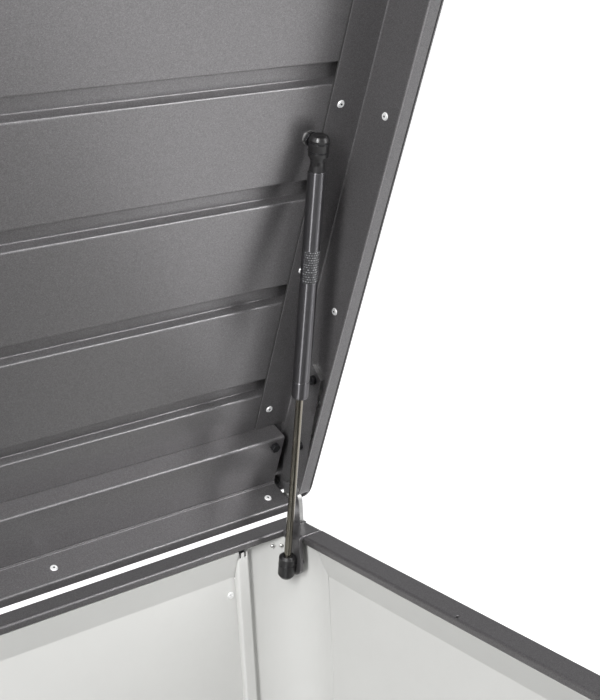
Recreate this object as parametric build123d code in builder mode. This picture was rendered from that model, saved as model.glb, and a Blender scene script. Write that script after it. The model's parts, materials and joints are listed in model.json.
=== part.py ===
from build123d import *
import os
from math import cos, radians, sin

os.makedirs("parts", exist_ok=True)

# Deck storage box in folded sheet metal, lid held open by two gas springs.
# Row frame: origin on the ground under the middle of the box, +X to the right as seen
# from the front, +Y to the rear, +Z up. All sizes in millimetres.

# Body
LENGTH = 1802.0
DEPTH = 785.0
RIM_TOP = 632.0
RIM_WIDTH = 27.0
RIM_OUTER_DROP = 46.0
RIM_INNER_DROP = 8.0
BODY_SHEET = 1.5
WALL_INSET = 10.5
SKID_HEIGHT = 20.0
SKID_WIDTH = 60.0
SKID_SPACING = 780.0
FLOOR_SHEET = 2.0
BAND_DROP = 44.0
CORNER_RADIUS = 57.0
POST_INNER_X = 810.5
POST_OUTER_X = 826.0
POST_FACE_INSET = 20.0
POST_TOP_DROP = 15.0
BEND = 2.0

# Lid, measured in its own frame: forward from the hinge axis, outwards from the box
LID_OPEN = 66.0
PIVOT_INSET = 4.0
PIVOT_RISE = 23.0
LID_HALF = 905.0
LID_REAR = -6.0
LID_FRONT = 784.0
LID_EDGE = -20.5
PANEL_INNER = 46.3
LID_SHEET = 1.2
RIB_FIRST = 136.0
RIB_PITCH = 123.8
RIB_COUNT = 5
RIB_MOUTH = 22.5
RIB_DEPTH = 9.0
RIB_HALF_LENGTH = 884.0
RIB_DRAFT = 17.0
RIB_BEND = 1.0
LID_BEND = 3.0
CHANNEL_TOP = 40.0
CHANNEL_LIP = 17.0
FRONT_CHANNEL_TOP = 30.0
LID_CORNER = 40.0
BEAM_FRONT = 76.0
BEAM_FACE = 23.1
BEAM_HALF = 887.2
BEAM_SHEET = 1.5
SKIRT_BOTTOM = -14.0
SKIRT_INNER = 7.5
SKIRT_LIP = 2.4
SKIRT_TAB = 19.5

# Hinge
ARM_THICKNESS = 5.0
ARM_FOOT = RIM_TOP - 44
ARM_FRONT_INSET = 25.0
ARM_REAR_INSET = 2.0
ARM_HEAD_RISE = 17.5
PLATE_THICKNESS = 3.8
HINGE_GAP = 0.3
PIN_RADIUS = 5.0
PIN_CLEARANCE = 0.05
HINGE_SCREWS = [(161, 13), (72, 8)]
HINGE_SCREW_RADIUS = 3.0

# Gas spring
UPPER_BALL_X = 847.0
UPPER_BALL_FORWARD = 442.6
UPPER_BALL_OUT = 29.9
LOWER_BALL = (858.0, 346.5, 597.0)
BALL_RADIUS = 5.0
BALL_CLEARANCE = 0.3
NECK_RADIUS = 3.2
SOCKET_MOUTH = 4.8
STUD_HEXAGON = 7.1
STUD_HEXAGON_HEIGHT = 3.4
WASHER_THICKNESS = 0.8
TUBE_RADIUS = 9.0
TUBE_WALL = 1.4
TUBE_START = 24.0
TUBE_END = 270.0
CRIMP_FROM_END = 20.0
ROD_RADIUS = 4.0
PISTON_LENGTH = 14.0
UPPER_SOCKET_RADIUS = 10.0
LOWER_SOCKET_RADIUS = 9.4

# Strut bracket
STRAP_THICKNESS = 4.0
STRAP_RISE = 1.0
STRAP_FRONT = 334.0
STRAP_REAR = 364.5
LEG_FACE = 868.0
LEG_END_RADIUS = 12.5

# Lock
LOCK_HEIGHT = 13.0
CAM_LENGTH = 50.0
CAM_FOOT = 20.0
CAM_FORWARD = 747.0
CAM_THICKNESS = 3.0
SPINDLE_RADIUS = 5.0
LOCK_FLANGE_RADIUS = 24.0
LOCK_BARREL_RADIUS = 11.0
KNOB_RADIUS = 17.0
BUFFER_SPACING = 600.0
BUFFER_RADIUS = 8.0
BUFFER_HEIGHT = 2.3
LOCK_HOLE_RADIUS = 11.2

# Fasteners
RIVET_HEAD = 4.0
RIVET_RADIUS = 1.9
RIVET_HEIGHT = 1.1

SEAT_RADIUS = BALL_RADIUS + BALL_CLEARANCE
HALF_X = LENGTH / 2
HALF_Y = DEPTH / 2
WALL_OUTER_X = HALF_X - WALL_INSET
WALL_OUTER_Y = HALF_Y - WALL_INSET
WALL_BASE = SKID_HEIGHT + FLOOR_SHEET

# The lid's frame at rest, turned open about the hinge axis
PIVOT = Vector(0, HALF_Y - PIVOT_INSET, RIM_TOP + PIVOT_RISE)
FORWARD = Vector(0, -cos(radians(LID_OPEN)), sin(radians(LID_OPEN)))
OUTWARD = Vector(0, sin(radians(LID_OPEN)), cos(radians(LID_OPEN)))
ACROSS = Vector(1, 0, 0)
PANEL_OUTER = PANEL_INNER + LID_SHEET
SKIN_INNER = LID_HALF - LID_SHEET
WEB_INNER = SKIN_INNER - LID_SHEET
FRONT_SKIN_INNER = LID_FRONT - LID_SHEET
FRONT_WEB_INNER = FRONT_SKIN_INNER - LID_SHEET
HINGE_PLATE_FACE = WEB_INNER - PLATE_THICKNESS
ARM_OUTER = HINGE_PLATE_FACE - HINGE_GAP
ARM_INNER = ARM_OUTER - ARM_THICKNESS


def lid_point(x, forward, outward):
    """A point given in the lid's own frame."""
    return PIVOT + ACROSS * x + FORWARD * forward + OUTWARD * outward


def lid_side(x):
    """Plane across the lid at x: (forward, outward), extruding towards -X."""
    return Plane(origin=lid_point(x, 0, 0), x_dir=FORWARD, z_dir=-ACROSS)


def lid_under(outward):
    """Plane parallel to the lid's panel: (x, forward), extruding into the box."""
    return Plane(origin=lid_point(0, 0, outward), x_dir=ACROSS, z_dir=-OUTWARD)


def lid_front(forward):
    """Plane parallel to the lid's front: (x, outward), extruding forwards."""
    return Plane(origin=lid_point(0, forward, 0), x_dir=ACROSS, z_dir=FORWARD)


def save(piece, name):
    """Label a finished piece and write it as its own node."""
    piece.part.label = name
    export_step(piece.part, f"parts/{name}.step")


def save_pair(piece, name):
    """Write a right-hand piece and its mirror image on the left."""
    save(piece, f"{name}_right")
    with BuildPart() as twin:
        mirror(piece.part, about=Plane.YZ)
    save(twin, f"{name}_left")


def folded(path, radius, thickness):
    """Section of a folded sheet along the centre line given by its corners."""
    with BuildLine() as centre_line:
        FilletPolyline(*path, radius=radius)
    trace(centre_line.line, line_width=thickness)


# ---------------------------------------------------------------- body


def make_floor():
    """Base plate with rounded corners, and the runners that it stands on."""
    with BuildPart() as floor_panel:
        with BuildSketch(Plane.XY.offset(SKID_HEIGHT)):
            RectangleRounded(2 * WALL_OUTER_X, 2 * WALL_OUTER_Y, CORNER_RADIUS + BODY_SHEET)
        extrude(amount=FLOOR_SHEET)
    save(floor_panel, "floor_panel")
    for name, x in (("left", -SKID_SPACING), ("centre", 0.0), ("right", SKID_SPACING)):
        with BuildPart() as skid:
            with BuildSketch(Plane.XY):
                with Locations((x, 0)):
                    Rectangle(SKID_WIDTH, 2 * WALL_OUTER_Y - 60)
            extrude(amount=SKID_HEIGHT)
            fillet(skid.edges().filter_by(Axis.Z), 6)
            chamfer(skid.faces().sort_by(Axis.Z)[0].edges(), 2)
        save(skid, f"base_skid_{name}")


def wall_section(outer):
    """A wall from its outer face, leaning in at the top to meet the rim's inner lip."""
    middle = outer - BODY_SHEET / 2
    lip = outer + WALL_INSET - RIM_WIDTH + BODY_SHEET
    path = [
        (middle, WALL_BASE),
        (middle, RIM_TOP - BAND_DROP),
        (lip + BODY_SHEET / 2 + 0.4, RIM_TOP - RIM_INNER_DROP - 2),
    ]
    folded(path, 6, BODY_SHEET)


def wall_rivet_points():
    """Rivets beside the corner posts on a long wall: (x, height)."""
    return [(side * (HALF_X - 97), RIM_TOP - 65 - 160 * step) for side in (-1, 1) for step in range(4)]


def make_walls():
    """Side walls, and front and rear walls, each one folded sheet between the corners."""
    side_end = WALL_OUTER_Y - BODY_SHEET - CORNER_RADIUS - 12
    with BuildPart() as side_wall:
        with BuildSketch(Plane.XZ.offset(-side_end)):
            wall_section(WALL_OUTER_X)
        extrude(amount=2 * side_end)
    save_pair(side_wall, "side_wall")

    end = POST_OUTER_X - BODY_SHEET
    with BuildPart() as rear_wall:
        with BuildSketch(Plane.YZ.offset(-end)):
            wall_section(WALL_OUTER_Y)
        extrude(amount=2 * end)
        with BuildSketch(Plane.XZ.offset(-HALF_Y)):
            for side in (-1, 1):
                with Locations((side * (POST_INNER_X - 0.3), RIM_TOP - BAND_DROP - 4)):
                    Rectangle(40, 80, align=(Align.MIN if side > 0 else Align.MAX, Align.MIN))
        extrude(amount=40, mode=Mode.SUBTRACT)
        side_holes(wall_rivet_points(), RIVET_RADIUS, Plane.XZ.offset(-WALL_OUTER_Y - 1), 4)
    save(rear_wall, "rear_wall")
    with BuildPart() as front_wall:
        mirror(rear_wall.part, about=Plane.XZ)
    save(front_wall, "front_wall")


def make_corner_posts():
    """Rounded corner sheets, each with a square fold that laps the long wall."""
    middle_x = WALL_OUTER_X - BODY_SHEET / 2
    middle_y = WALL_OUTER_Y - BODY_SHEET / 2
    side_end = WALL_OUTER_Y - BODY_SHEET - CORNER_RADIUS - 11.5
    fold_y = HALF_Y - POST_FACE_INSET + BODY_SHEET / 2
    outline = [
        (middle_x, side_end),
        (middle_x, middle_y),
        (POST_OUTER_X - BODY_SHEET / 2, middle_y),
        (POST_OUTER_X - BODY_SHEET / 2, fold_y),
        (POST_INNER_X + BODY_SHEET / 2, fold_y),
        (POST_INNER_X + BODY_SHEET / 2, WALL_OUTER_Y - BODY_SHEET - 0.2),
    ]
    radii = [CORNER_RADIUS + BODY_SHEET / 2, 1.2, BEND, BEND]
    fold_top = RIM_TOP - POST_TOP_DROP
    with BuildPart() as post:
        with BuildSketch(Plane.XY.offset(WALL_BASE)):
            folded(outline, radii, BODY_SHEET)
        extrude(amount=RIM_TOP - RIM_INNER_DROP - 0.5 - WALL_BASE)
        with BuildSketch(Plane.XY.offset(fold_top)):
            with Locations((POST_INNER_X - 2, fold_y - 3)):
                Rectangle(POST_OUTER_X - POST_INNER_X + 2.1, 12, align=(Align.MIN, Align.MIN))
        extrude(amount=RIM_TOP - fold_top, mode=Mode.SUBTRACT)
        with BuildSketch(Plane.XZ.offset(-fold_y - 2)):
            for x in (POST_INNER_X + 4.5, POST_OUTER_X - 4.5):
                with Locations((x, fold_top - 2)):
                    Rectangle(2.4, 8)
        extrude(amount=4, mode=Mode.SUBTRACT)
    save_pair(post, "corner_post_rear")
    with BuildPart() as front_post:
        mirror(post.part, about=Plane.XZ)
    save_pair(front_post, "corner_post_front")


def rim_section(outer):
    """Rim: top, outer side with a foot against the wall, and a short inner lip."""
    half = BODY_SHEET / 2
    path = [
        (outer - WALL_INSET + 0.1, RIM_TOP - RIM_OUTER_DROP + half),
        (outer - half, RIM_TOP - RIM_OUTER_DROP + half),
        (outer - half, RIM_TOP - half),
        (outer - RIM_WIDTH + half, RIM_TOP - half),
        (outer - RIM_WIDTH + half, RIM_TOP - RIM_INNER_DROP),
    ]
    folded(path, BEND, BODY_SHEET)


def make_rims():
    """Long rims with closed ends, and side rims from the front rim to the strut bracket."""
    cap_middle = (HALF_Y - RIM_WIDTH / 2, RIM_TOP - RIM_OUTER_DROP / 2)
    with BuildPart() as long_rim:
        with BuildSketch(Plane.YZ.offset(-HALF_X)):
            rim_section(HALF_Y)
        extrude(amount=LENGTH)
        for start in (-HALF_X, HALF_X - BODY_SHEET):
            with BuildSketch(Plane.YZ.offset(start)):
                with Locations(cap_middle):
                    RectangleRounded(RIM_WIDTH, RIM_OUTER_DROP, BEND)
            extrude(amount=BODY_SHEET)
    with BuildPart() as front_rim:
        mirror(long_rim.part, about=Plane.XZ)
    save(front_rim, "front_rim")

    with BuildPart() as rear_rim:
        add(long_rim.part)
        with BuildSketch(Plane.XY.offset(RIM_TOP - BODY_SHEET - 1)):
            for side in (-1, 1):
                with Locations((side * (ARM_INNER + ARM_THICKNESS / 2), HALF_Y - 13.5)):
                    Rectangle(ARM_THICKNESS + 0.4, 23.4)
        extrude(amount=BODY_SHEET + 2, mode=Mode.SUBTRACT)
    save(rear_rim, "rear_rim")

    front = -(HALF_Y - RIM_WIDTH) + 0.3
    with BuildPart() as side_rim:
        with BuildSketch(Plane.XZ.offset(-(STRAP_FRONT - 0.3))):
            rim_section(HALF_X)
        extrude(amount=STRAP_FRONT - 0.3 - front)
        with BuildSketch(Plane.XY.offset(RIM_TOP - BODY_SHEET - 1)):
            with Locations((HALF_X - 23, HALF_Y - 302), (HALF_X - 23, -HALF_Y + 302)):
                Circle(2)
        extrude(amount=BODY_SHEET + 2, mode=Mode.SUBTRACT)
    save_pair(side_rim, "side_rim")


def make_hinge_arm():
    """Plate that rises through the rear rim and carries the hinge pin."""
    front = HALF_Y - ARM_FRONT_INSET
    rear = HALF_Y - ARM_REAR_INSET
    back = PIVOT.Y + 8
    top = PIVOT.Z
    with BuildPart() as hinge_arm:
        with BuildSketch(Plane.YZ.offset(ARM_INNER)):
            with BuildLine():
                Polyline((front, top), (front, ARM_FOOT), (rear, ARM_FOOT), (rear, RIM_TOP + 6))
                Line((rear, RIM_TOP + 6), (back, top - 6))
                Line((back, top - 6), (back, top + ARM_HEAD_RISE))
                head = (PIVOT.Y - 9, top + ARM_HEAD_RISE + 1)
                ThreePointArc((back, top + ARM_HEAD_RISE), head, (front, top))
            make_face()
            with Locations((PIVOT.Y, PIVOT.Z)):
                Circle(PIN_RADIUS + PIN_CLEARANCE, mode=Mode.SUBTRACT)
        extrude(amount=ARM_THICKNESS)
    save_pair(hinge_arm, "hinge_arm")


def make_strut_bracket():
    """Strap over the side rim with a rounded leg for the lower ball stud, and its nut."""
    top = RIM_TOP + STRAP_RISE
    middle = STRAP_THICKNESS / 2
    path = [
        (HALF_X - middle, RIM_TOP - RIM_OUTER_DROP),
        (HALF_X - middle, top - middle),
        (LEG_FACE + middle, top - middle),
        (LEG_FACE + middle, LOWER_BALL[2] - LEG_END_RADIUS),
    ]
    with BuildPart() as strut_bracket:
        with BuildSketch(Plane.XZ.offset(-STRAP_REAR)):
            folded(path, 3.5, STRAP_THICKNESS)
        extrude(amount=STRAP_REAR - STRAP_FRONT)
        with BuildSketch(Plane.YZ.offset(LEG_FACE - 1)):
            with Locations((LOWER_BALL[1] + LEG_END_RADIUS, RIM_TOP - RIM_INNER_DROP)):
                Rectangle(20, 60, align=(Align.MIN, Align.MAX))
            with Locations(LOWER_BALL[1:]):
                Rectangle(4 * LEG_END_RADIUS, 2 * LEG_END_RADIUS, align=(Align.CENTER, Align.MAX))
                Circle(LEG_END_RADIUS, mode=Mode.SUBTRACT)
        extrude(amount=STRAP_THICKNESS + 2, mode=Mode.SUBTRACT)
        with BuildSketch(Plane.YZ.offset(LEG_FACE - 1)):
            with Locations(LOWER_BALL[1:]):
                Circle(NECK_RADIUS)
        extrude(amount=STRAP_THICKNESS + 2, mode=Mode.SUBTRACT)
    save_pair(strut_bracket, "strut_bracket")

    with BuildPart() as nuts:
        for side in (-1, 1):
            face = LEG_FACE + STRAP_THICKNESS
            with BuildSketch(Plane.YZ.offset(side * face)):
                with Locations(LOWER_BALL[1:]):
                    RegularPolygon(6.5, 6)
            extrude(amount=side * 4.5)
            with BuildSketch(Plane.YZ.offset(side * (LEG_FACE + 0.4))):
                with Locations(LOWER_BALL[1:]):
                    Circle(NECK_RADIUS)
            extrude(amount=side * (STRAP_THICKNESS + 7))
    save(nuts, "bracket_nuts")


def make_rim_fittings():
    """Rubber buffers under the lid's front, the lock's strike and the rear wall's rivets."""
    buffer_y = -(HALF_Y - RIM_WIDTH / 2)
    with BuildPart() as buffers:
        with BuildSketch(Plane.XY.offset(RIM_TOP)):
            with Locations((-BUFFER_SPACING, buffer_y), (BUFFER_SPACING, buffer_y)):
                Circle(BUFFER_RADIUS)
        extrude(amount=BUFFER_HEIGHT)
        chamfer(buffers.faces().filter_by(Axis.Z).group_by(Axis.Z)[-1].edges(), 0.6)
    save(buffers, "rim_buffers")

    inner_face = WALL_OUTER_Y - BODY_SHEET
    with BuildPart() as wall_rivets:
        rivet_group(Plane.XZ.offset(-inner_face), wall_rivet_points(), BODY_SHEET)
        front_face = Plane(origin=(0, -inner_face, 0), x_dir=(-1, 0, 0), z_dir=(0, 1, 0))
        rivet_group(front_face, wall_rivet_points(), BODY_SHEET)
    save(wall_rivets, "wall_rivets")

    lip = -(HALF_Y - RIM_WIDTH)
    ledge_top = PIVOT.Z - 27
    with BuildPart() as strike_plate:
        with BuildSketch(Plane.YZ.offset(-40)):
            with BuildLine():
                Polyline(
                    (lip + 0.1, ledge_top),
                    (lip + 0.1, ledge_top - 16),
                    (lip + 2.1, ledge_top - 16),
                    (lip + 2.1, ledge_top - 3),
                    (lip + 27, ledge_top - 3),
                    (lip + 27, ledge_top),
                    close=True,
                )
            make_face()
        extrude(amount=31)
    save(strike_plate, "strike_plate")


# ---------------------------------------------------------------- lid


def rivet_rows():
    """Rivets through the side channel's flange: (x, forward); through its web: (forward, outward)."""
    flange = [(HALF_X - 26, forward) for forward in (102, 287, 475, 660)]
    web = [(forward, 12) for forward in (251, 476, 700)]
    return flange, web


def rear_rivets():
    """Rivets along the rear skirt's inner face: (x, outward)."""
    return [(side * (HALF_X - 34.6 - 262.6 * step), 3.5) for side in (-1, 1) for step in range(4)]


def cut_lid_corner(plane):
    """Round off the lid's lower rear corner, seen from the side."""
    centre = (LID_REAR + LID_CORNER, LID_EDGE + LID_CORNER)
    with BuildSketch(plane) as waste:
        with Locations((LID_REAR - 1, LID_EDGE - 1)):
            Rectangle(LID_CORNER + 1, LID_CORNER + 1, align=(Align.MIN, Align.MIN))
        with Locations(centre):
            Circle(LID_CORNER, mode=Mode.SUBTRACT)
    extrude(waste.sketch, amount=30, mode=Mode.SUBTRACT)


def side_holes(points, radius, plane, depth):
    """Drill round holes at points on a plane."""
    with BuildSketch(plane) as holes:
        with Locations(*points):
            Circle(radius)
    extrude(holes.sketch, amount=depth, mode=Mode.SUBTRACT)


def edge_ends(edge):
    """Both ends of an edge, from the hinge axis."""
    return edge @ 0 - PIVOT, edge @ 1 - PIVOT


def is_folded_edge(edge):
    """True for the lid's outer edges: sides, front and the upright front corners."""
    middle = (edge @ 0.5) - PIVOT
    on_top = all(abs(end.dot(OUTWARD) - PANEL_OUTER) < 0.1 for end in edge_ends(edge))
    at_corner = all(end.dot(FORWARD) > LID_FRONT - 0.1 for end in edge_ends(edge))
    upright = at_corner and abs(middle.X) > LID_HALF - 0.1
    return upright or (on_top and middle.dot(FORWARD) > LID_REAR + 1)


def is_rib_edge(edge, height):
    """True for a rib's edge that lies at one height above the hinge axis."""
    return all(
        abs(end.dot(OUTWARD) - height) < 0.02
        and abs(end.X) < RIB_HALF_LENGTH + LID_SHEET + 1
        and RIB_FIRST - RIB_MOUTH < end.dot(FORWARD) < RIB_FIRST + RIB_PITCH * (RIB_COUNT - 0.5)
        for end in edge_ends(edge)
    )


def make_lid_panel():
    """Ribbed top sheet folded down at the sides and front."""
    flange_rivets, web_rivets = rivet_rows()
    length = LID_FRONT - LID_REAR
    middle = (LID_FRONT + LID_REAR) / 2
    mirrored = [(-x, forward) for x, forward in flange_rivets]
    with BuildPart() as lid_panel:
        with BuildSketch(lid_under(PANEL_OUTER)):
            with Locations((0, middle)):
                Rectangle(2 * LID_HALF, length)
        extrude(amount=PANEL_OUTER - LID_EDGE)
        fillet(lid_panel.edges().filter_by(is_folded_edge), LID_BEND)
        with BuildSketch(lid_under(PANEL_INNER)):
            with Locations((0, middle - LID_SHEET)):
                Rectangle(2 * SKIN_INNER, length)
        extrude(amount=PANEL_INNER - LID_EDGE + 1, mode=Mode.SUBTRACT)
        for step in range(RIB_COUNT):
            centre = (0, RIB_FIRST + RIB_PITCH * step)
            with BuildSketch(lid_under(PANEL_INNER)):
                with Locations(centre):
                    Rectangle(2 * RIB_HALF_LENGTH, RIB_MOUTH + 2 * LID_SHEET)
            extrude(amount=-(RIB_DEPTH + LID_SHEET), taper=RIB_DRAFT)
            with BuildSketch(lid_under(PANEL_INNER)):
                with Locations(centre):
                    Rectangle(2 * (RIB_HALF_LENGTH - LID_SHEET), RIB_MOUTH)
            extrude(amount=-RIB_DEPTH, taper=RIB_DRAFT, mode=Mode.SUBTRACT)
        for height, radius in (
            (PANEL_OUTER + RIB_DEPTH, RIB_BEND + LID_SHEET),
            (PANEL_INNER + RIB_DEPTH, RIB_BEND),
            (PANEL_INNER, RIB_BEND + LID_SHEET),
        ):
            fillet(lid_panel.edges().filter_by(lambda edge: is_rib_edge(edge, height)), radius)
        cut_lid_corner(lid_side(LID_HALF + 1))
        cut_lid_corner(lid_side(-LID_HALF + 29))
        side_holes(flange_rivets + mirrored, RIVET_RADIUS, lid_under(PANEL_OUTER + 1), 3)
        side_holes(web_rivets, RIVET_RADIUS, lid_side(LID_HALF + 1), 3)
        side_holes(web_rivets, RIVET_RADIUS, lid_side(-SKIN_INNER + 1), 3)
        side_holes([(0, LOCK_HEIGHT)], LOCK_HOLE_RADIUS, lid_front(FRONT_SKIN_INNER - 1), 4)
        side_holes([(-UPPER_BALL_X, UPPER_BALL_FORWARD), (UPPER_BALL_X, UPPER_BALL_FORWARD)],
                   NECK_RADIUS, lid_under(PANEL_OUTER + 1), 3)
    save(lid_panel, "lid_panel")


def make_side_channel():
    """Channel inside the lid's side: wide flange on the panel, web, narrow lip at the edge."""
    half = LID_SHEET / 2
    flange_rivets, web_rivets = rivet_rows()
    path = [
        (SKIN_INNER - CHANNEL_TOP - 2, PANEL_INNER - half),
        (SKIN_INNER - half, PANEL_INNER - half),
        (SKIN_INNER - half, LID_EDGE + half),
        (LID_HALF - CHANNEL_LIP, LID_EDGE + half),
    ]
    with BuildPart() as channel:
        with BuildSketch(lid_front(LID_REAR + 0.2)):
            folded(path, BEND, LID_SHEET)
        extrude(amount=FRONT_SKIN_INNER - LID_REAR - 0.3)
        with BuildSketch(lid_under(PANEL_INNER + 1)):
            with Locations((SKIN_INNER - CHANNEL_TOP - 4, LID_REAR - 1)):
                Rectangle(CHANNEL_TOP, BEAM_FRONT + 0.3 - LID_REAR + 1, align=(Align.MIN, Align.MIN))
        extrude(amount=6, mode=Mode.SUBTRACT)
        cut_lid_corner(lid_side(LID_HALF + 1))
        side_holes(flange_rivets, RIVET_RADIUS, lid_under(PANEL_INNER + 1), 4)
        side_holes(web_rivets, RIVET_RADIUS, lid_side(SKIN_INNER + 1), 4)
        side_holes(HINGE_SCREWS, HINGE_SCREW_RADIUS, lid_side(SKIN_INNER + 1), 4)
        side_holes([(0, 0)], PIN_RADIUS + 0.5, lid_side(SKIN_INNER + 1), 4)
    save_pair(channel, "side_channel")


def make_front_channel():
    """The same channel, narrower, inside the lid's front, with the lock's hole."""
    half = LID_SHEET / 2
    reach = LID_HALF - CHANNEL_LIP - 0.3
    path = [
        (FRONT_SKIN_INNER - FRONT_CHANNEL_TOP, PANEL_INNER - half),
        (FRONT_SKIN_INNER - half, PANEL_INNER - half),
        (FRONT_SKIN_INNER - half, LID_EDGE + half),
        (FRONT_SKIN_INNER - CHANNEL_LIP, LID_EDGE + half),
    ]
    with BuildPart() as channel:
        with BuildSketch(lid_side(reach)):
            folded(path, BEND, LID_SHEET)
        extrude(amount=2 * reach)
        with BuildSketch(lid_under(PANEL_INNER + 1)):
            for side in (-1, 1):
                with Locations((side * (SKIN_INNER - CHANNEL_TOP - 2.3), FRONT_SKIN_INNER + 1)):
                    Rectangle(60, 60, align=(Align.MIN if side > 0 else Align.MAX, Align.MAX))
        extrude(amount=5, mode=Mode.SUBTRACT)
        side_holes([(0, LOCK_HEIGHT)], LOCK_HOLE_RADIUS, lid_front(FRONT_WEB_INNER - 1), 4)
    save(channel, "front_channel")


def make_rear_skirt():
    """Folded trough along the lid's rear edge, with a lip on the beam and tabs behind the hinges."""
    half = LID_SHEET / 2
    lip = BEAM_FACE - 0.1 - half
    tab_top = PANEL_INNER - LID_SHEET - BEND
    path = [
        (LID_REAR + half, PANEL_INNER - 0.1),
        (LID_REAR + half, SKIRT_BOTTOM + half),
        (SKIRT_INNER - half, SKIRT_BOTTOM + half),
        (SKIRT_INNER - half, lip),
        (SKIRT_INNER + SKIRT_LIP, lip),
    ]
    with BuildPart() as rear_skirt:
        with BuildSketch(lid_side(BEAM_HALF)):
            folded(path, 1.6, LID_SHEET)
        extrude(amount=2 * BEAM_HALF)
        with BuildSketch(lid_front(LID_REAR)) as end_tabs:
            with Locations((0, SKIRT_TAB)):
                Rectangle(2 * WEB_INNER - 0.4, tab_top - SKIRT_TAB, align=(Align.CENTER, Align.MIN))
        extrude(end_tabs.sketch, amount=LID_SHEET)
        side_holes(rear_rivets(), RIVET_RADIUS, lid_front(SKIRT_INNER - 3), 4)
    save(rear_skirt, "rear_skirt")


def make_rear_beam():
    """Hat-shaped beam behind the hinges, closed by the panel, with its end bolts."""
    half = BEAM_SHEET / 2
    path = [
        (SKIRT_INNER + 0.1 + half, PANEL_INNER - 0.1),
        (SKIRT_INNER + 0.1 + half, BEAM_FACE + half),
        (BEAM_FRONT - half, BEAM_FACE + half),
        (BEAM_FRONT - half, PANEL_INNER - 0.1),
    ]
    bolts = [(side * (HALF_X - 26), 65.4) for side in (-1, 1)]
    with BuildPart() as rear_beam:
        with BuildSketch(lid_side(BEAM_HALF)):
            folded(path, BEND, BEAM_SHEET)
        extrude(amount=2 * BEAM_HALF)
        side_holes(bolts, 3, lid_under(BEAM_FACE + 3), 4)
    save(rear_beam, "rear_beam")

    with BuildPart() as beam_bolts:
        with BuildSketch(lid_under(BEAM_FACE)):
            with Locations(*bolts):
                RegularPolygon(5.5, 6)
        extrude(amount=5)
        with BuildSketch(lid_under(BEAM_FACE + 6)):
            with Locations(*bolts):
                Circle(3)
        extrude(amount=6)
    save(beam_bolts, "beam_bolts")


def make_hinge_plate():
    """Plate bolted inside the lid's side that turns on the hinge pin."""
    with BuildPart() as hinge_plate:
        with BuildSketch(lid_side(WEB_INNER)):
            with BuildLine():
                Polyline((0, 14), (40, 34), (150, 34), (176, 20), (168, 2), (60, -8), (8, -11.5))
                ThreePointArc((8, -11.5), (-14, 0), (0, 14))
            make_face()
            Circle(PIN_RADIUS, mode=Mode.SUBTRACT)
            with Locations(*HINGE_SCREWS):
                Circle(3, mode=Mode.SUBTRACT)
        extrude(amount=PLATE_THICKNESS)
    save_pair(hinge_plate, "hinge_plate")

    with BuildPart() as screws:
        for side in (-1, 1):
            inner = side * HINGE_PLATE_FACE
            with BuildSketch(lid_side(inner)):
                with Locations(*HINGE_SCREWS):
                    Circle(5.2)
                    RegularPolygon(2.6, 6, mode=Mode.SUBTRACT)
            extrude(amount=side * 4)
            with BuildSketch(lid_side(inner + side * 5)):
                with Locations(*HINGE_SCREWS):
                    Circle(3)
            extrude(amount=side * 7.5)
    save(screws, "hinge_plate_screws")

    with BuildPart() as pins:
        for side in (-1, 1):
            with BuildSketch(lid_side(side * WEB_INNER)):
                Circle(PIN_RADIUS)
            extrude(amount=side * (PLATE_THICKNESS + HINGE_GAP + ARM_THICKNESS + HINGE_GAP))
            with BuildSketch(lid_side(side * (ARM_INNER - HINGE_GAP))):
                Circle(8)
            extrude(amount=side * 3)
    save(pins, "hinge_pins")


def rivet_group(plane, points, grip):
    """Blind rivets seen from inside: ring-shaped heads, shanks and set ends."""
    with BuildSketch(plane) as heads:
        with Locations(*points):
            Circle(RIVET_HEAD)
    extrude(heads.sketch, amount=RIVET_HEIGHT, taper=30)
    with BuildSketch(plane) as shanks:
        with Locations(*points):
            Circle(RIVET_RADIUS)
    extrude(shanks.sketch, amount=-grip)
    with BuildSketch(plane.offset(-grip)) as ends:
        with Locations(*points):
            Circle(RIVET_RADIUS + 1)
    extrude(ends.sketch, amount=-0.8)
    with BuildSketch(plane.offset(RIVET_HEIGHT)) as recesses:
        with Locations(*points):
            Circle(1.1)
    extrude(recesses.sketch, amount=-RIVET_HEIGHT - 0.3, mode=Mode.SUBTRACT)


def make_lid_rivets():
    """All blind rivets of the lid, as one group of equal fasteners."""
    flange_rivets, web_rivets = rivet_rows()
    mirrored = [(-x, forward) for x, forward in flange_rivets]
    with BuildPart() as lid_rivets:
        rivet_group(lid_under(PANEL_INNER - LID_SHEET), flange_rivets + mirrored, 2 * LID_SHEET)
        rivet_group(lid_side(WEB_INNER), web_rivets, 2 * LID_SHEET)
        left_web = Plane(origin=lid_point(-WEB_INNER, 0, 0), x_dir=FORWARD, z_dir=ACROSS)
        mirrored_web = [(forward, -outward) for forward, outward in web_rivets]
        rivet_group(left_web, mirrored_web, 2 * LID_SHEET)
        rivet_group(lid_front(SKIRT_INNER), rear_rivets(), LID_SHEET)
    save(lid_rivets, "lid_rivets")


# ---------------------------------------------------------------- gas springs

UPPER_BALL = lid_point(UPPER_BALL_X, UPPER_BALL_FORWARD, UPPER_BALL_OUT)
STRUT = Vector(*LOWER_BALL) - UPPER_BALL
STRUT_LENGTH = STRUT.length
STRUT_AXIS = STRUT.normalized()
STRUT_SIDE = (ACROSS - STRUT_AXIS * ACROSS.dot(STRUT_AXIS)).normalized()


def strut_plane(distance):
    """Plane across the gas spring at a distance below the upper ball."""
    return Plane(origin=UPPER_BALL + STRUT_AXIS * distance, x_dir=STRUT_SIDE, z_dir=STRUT_AXIS)


def strut_profile():
    """Plane through the gas spring's axis: (radius, distance below the upper ball)."""
    return Plane(origin=UPPER_BALL, x_dir=STRUT_SIDE, z_dir=STRUT_SIDE.cross(STRUT_AXIS))


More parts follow.
